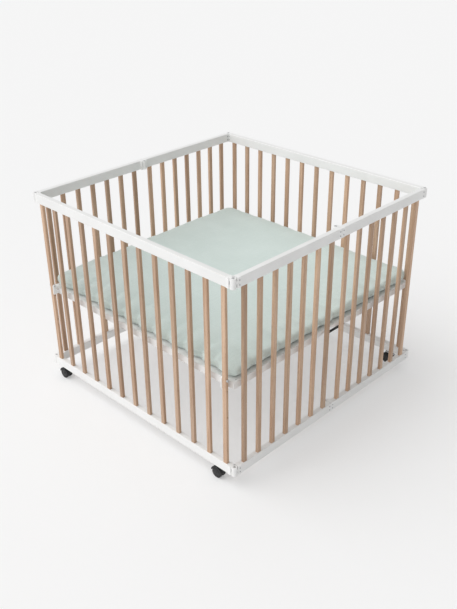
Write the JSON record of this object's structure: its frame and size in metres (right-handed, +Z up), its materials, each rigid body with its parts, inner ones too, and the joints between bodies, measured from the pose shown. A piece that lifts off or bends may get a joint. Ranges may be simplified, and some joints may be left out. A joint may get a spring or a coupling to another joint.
{
  "type": "folding playpen",
  "caption": "Square folding wooden playpen with white rails, beech slats, a raised two-part floor, a padded mattress and castors.",
  "frame": {"origin": "on the ground at the middle of the pen", "axes": "+Z up, X along the two whole panels, Y along the two hinged panels"},
  "size_m": [1, 1, 0.765],
  "materials": {
    "mattress_fabric": "matt woven cotton, pale mint",
    "beech": "clear satin beech",
    "white_wood": "satin white paint",
    "white_floor": "white laminate board",
    "white_plastic": "moulded white, fine texture",
    "black_tread": "black tread",
    "black_plastic": "moulded black",
    "zinc_steel": "bright zinc",
    "white_metal": "white powder coat",
    "black_metal": "black powder coat"
  },
  "bodies": {
    "near_panel": {"near_bottom_rail": "white_wood", "near_castor_plates": "zinc_steel", "near_corner_hinges": "white_plastic", "near_corner_pins": "zinc_steel", "near_floor_bolts": "zinc_steel", "near_slats": "beech", "near_top_rail": "white_wood"},
    "far_panel": {"far_bottom_rail": "white_wood", "far_castor_plates": "zinc_steel", "far_corner_hinges": "white_plastic", "far_corner_pins": "zinc_steel", "far_floor_bolts": "zinc_steel", "far_slats": "beech", "far_top_rail": "white_wood"},
    "right_near": {"right_mid_pins": "zinc_steel", "right_near_bottom_rail": "white_wood", "right_near_hinge_ends": "white_plastic", "right_near_slats": "beech", "right_near_top_rail": "white_wood"},
    "right_far": {"right_far_bottom_rail": "white_wood", "right_far_hinge_ends": "white_plastic", "right_far_slats": "beech", "right_far_top_rail": "white_wood"},
    "left_near": {"left_mid_pins": "zinc_steel", "left_near_bottom_rail": "white_wood", "left_near_hinge_ends": "white_plastic", "left_near_slats": "beech", "left_near_top_rail": "white_wood"},
    "left_far": {"left_far_bottom_rail": "white_wood", "left_far_hinge_ends": "white_plastic", "left_far_slats": "beech", "left_far_top_rail": "white_wood"},
    "floor_near": {"floor_hinge_pins": "zinc_steel", "near_floor_battens": "white_floor", "near_floor_board": "white_floor", "near_floor_brackets": "white_metal", "near_floor_hinges": "zinc_steel"},
    "floor_far": {"far_floor_battens": "white_floor", "far_floor_board": "white_floor", "far_floor_brackets": "white_metal", "far_floor_hinges": "zinc_steel", "lock_bail_clips": "black_metal"},
    "mattress": {"mattress": "mattress_fabric"},
    "right_bail": {"right_lock_bail": "black_metal"},
    "left_bail": {"left_lock_bail": "black_metal"},
    "castor_near_left": {"castor_near_left_housing": "black_plastic", "castor_near_left_axle": "zinc_steel"},
    "wheels_near_left": {"castor_near_left_wheels": "black_tread"},
    "castor_near_right": {"castor_near_right_housing": "black_plastic", "castor_near_right_axle": "zinc_steel"},
    "wheels_near_right": {"castor_near_right_wheels": "black_tread"},
    "castor_far_left": {"castor_far_left_housing": "black_plastic", "castor_far_left_axle": "zinc_steel"},
    "wheels_far_left": {"castor_far_left_wheels": "black_tread"},
    "castor_far_right": {"castor_far_right_housing": "black_plastic", "castor_far_right_axle": "zinc_steel"},
    "wheels_far_right": {"castor_far_right_wheels": "black_tread"}
  },
  "joints": [
    {"name": "fold", "type": "hinge", "parent": "near_panel", "child": "right_near", "pos_m": [0.491, -0.491, 0.4], "axis": [0, 0, -1], "range_deg": [0, 80]},
    {"name": "right_middle", "type": "hinge", "parent": "right_near", "child": "right_far", "pos_m": [0.472, 0, 0.4], "axis": [0, 0, 1], "range_deg": [0, 160]},
    {"name": "far_corner", "type": "hinge", "parent": "right_far", "child": "far_panel", "pos_m": [0.491, 0.491, 0.4], "axis": [0, 0, -1], "range_deg": [0, 80]},
    {"name": "left_corner", "type": "hinge", "parent": "near_panel", "child": "left_near", "pos_m": [-0.491, -0.491, 0.4], "axis": [0, 0, 1], "range_deg": [0, 80]},
    {"name": "left_middle", "type": "hinge", "parent": "left_near", "child": "left_far", "pos_m": [-0.472, 0, 0.4], "axis": [0, 0, -1], "range_deg": [0, 160]},
    {"name": "floor_near_pivot", "type": "hinge", "parent": "near_panel", "child": "floor_near", "pos_m": [0, -0.491, 0.405], "axis": [1, 0, 0], "range_deg": [0, 80]},
    {"name": "floor_middle", "type": "hinge", "parent": "floor_near", "child": "floor_far", "pos_m": [0, 0, 0.386], "axis": [-1, 0, 0], "range_deg": [0, 160]},
    {"name": "mattress_lift", "type": "slide", "parent": "near_panel", "child": "mattress", "axis": [0, 0, 1], "range_m": [0, 0.85], "deforming": ["mattress"]},
    {"name": "right_bail_swing", "type": "hinge", "parent": "floor_far", "child": "right_bail", "pos_m": [0.446, 0.069, 0.3815], "axis": [0, 1, 0], "range_deg": [0, 90]},
    {"name": "left_bail_swing", "type": "hinge", "parent": "floor_far", "child": "left_bail", "pos_m": [-0.446, 0.069, 0.3815], "axis": [0, -1, 0], "range_deg": [0, 90]},
    {"name": "swivel_near_left", "type": "hinge", "parent": "near_panel", "child": "castor_near_left", "pos_m": [-0.428, -0.485, 0.04], "axis": [0, 0, 1], "continuous": true},
    {"name": "roll_near_left", "type": "hinge", "parent": "castor_near_left", "child": "wheels_near_left", "pos_m": [-0.442, -0.485, 0.02], "axis": [0, 1, 0], "continuous": true},
    {"name": "swivel_near_right", "type": "hinge", "parent": "near_panel", "child": "castor_near_right", "pos_m": [0.428, -0.485, 0.04], "axis": [0, 0, 1], "continuous": true},
    {"name": "roll_near_right", "type": "hinge", "parent": "castor_near_right", "child": "wheels_near_right", "pos_m": [0.414, -0.485, 0.02], "axis": [0, 1, 0], "continuous": true},
    {"name": "swivel_far_left", "type": "hinge", "parent": "far_panel", "child": "castor_far_left", "pos_m": [-0.428, 0.485, 0.04], "axis": [0, 0, 1], "continuous": true},
    {"name": "roll_far_left", "type": "hinge", "parent": "castor_far_left", "child": "wheels_far_left", "pos_m": [-0.442, 0.485, 0.02], "axis": [0, 1, 0], "continuous": true},
    {"name": "swivel_far_right", "type": "hinge", "parent": "far_panel", "child": "castor_far_right", "pos_m": [0.428, 0.485, 0.04], "axis": [0, 0, 1], "continuous": true},
    {"name": "roll_far_right", "type": "hinge", "parent": "castor_far_right", "child": "wheels_far_right", "pos_m": [0.414, 0.485, 0.02], "axis": [0, 1, 0], "continuous": true}
  ],
  "couplings": [
    {"joint": "right_middle", "follows": "fold", "ratio": 2},
    {"joint": "far_corner", "follows": "fold", "ratio": 1},
    {"joint": "left_corner", "follows": "fold", "ratio": 1},
    {"joint": "left_middle", "follows": "fold", "ratio": 2},
    {"joint": "floor_near_pivot", "follows": "fold", "ratio": 1},
    {"joint": "floor_middle", "follows": "fold", "ratio": 2},
    {"joint": "mattress_lift", "follows": "fold", "m_per_rad": 0.6},
    {"joint": "right_bail_swing", "follows": "fold", "ratio": 1.125},
    {"joint": "left_bail_swing", "follows": "fold", "ratio": 1.125}
  ]
}
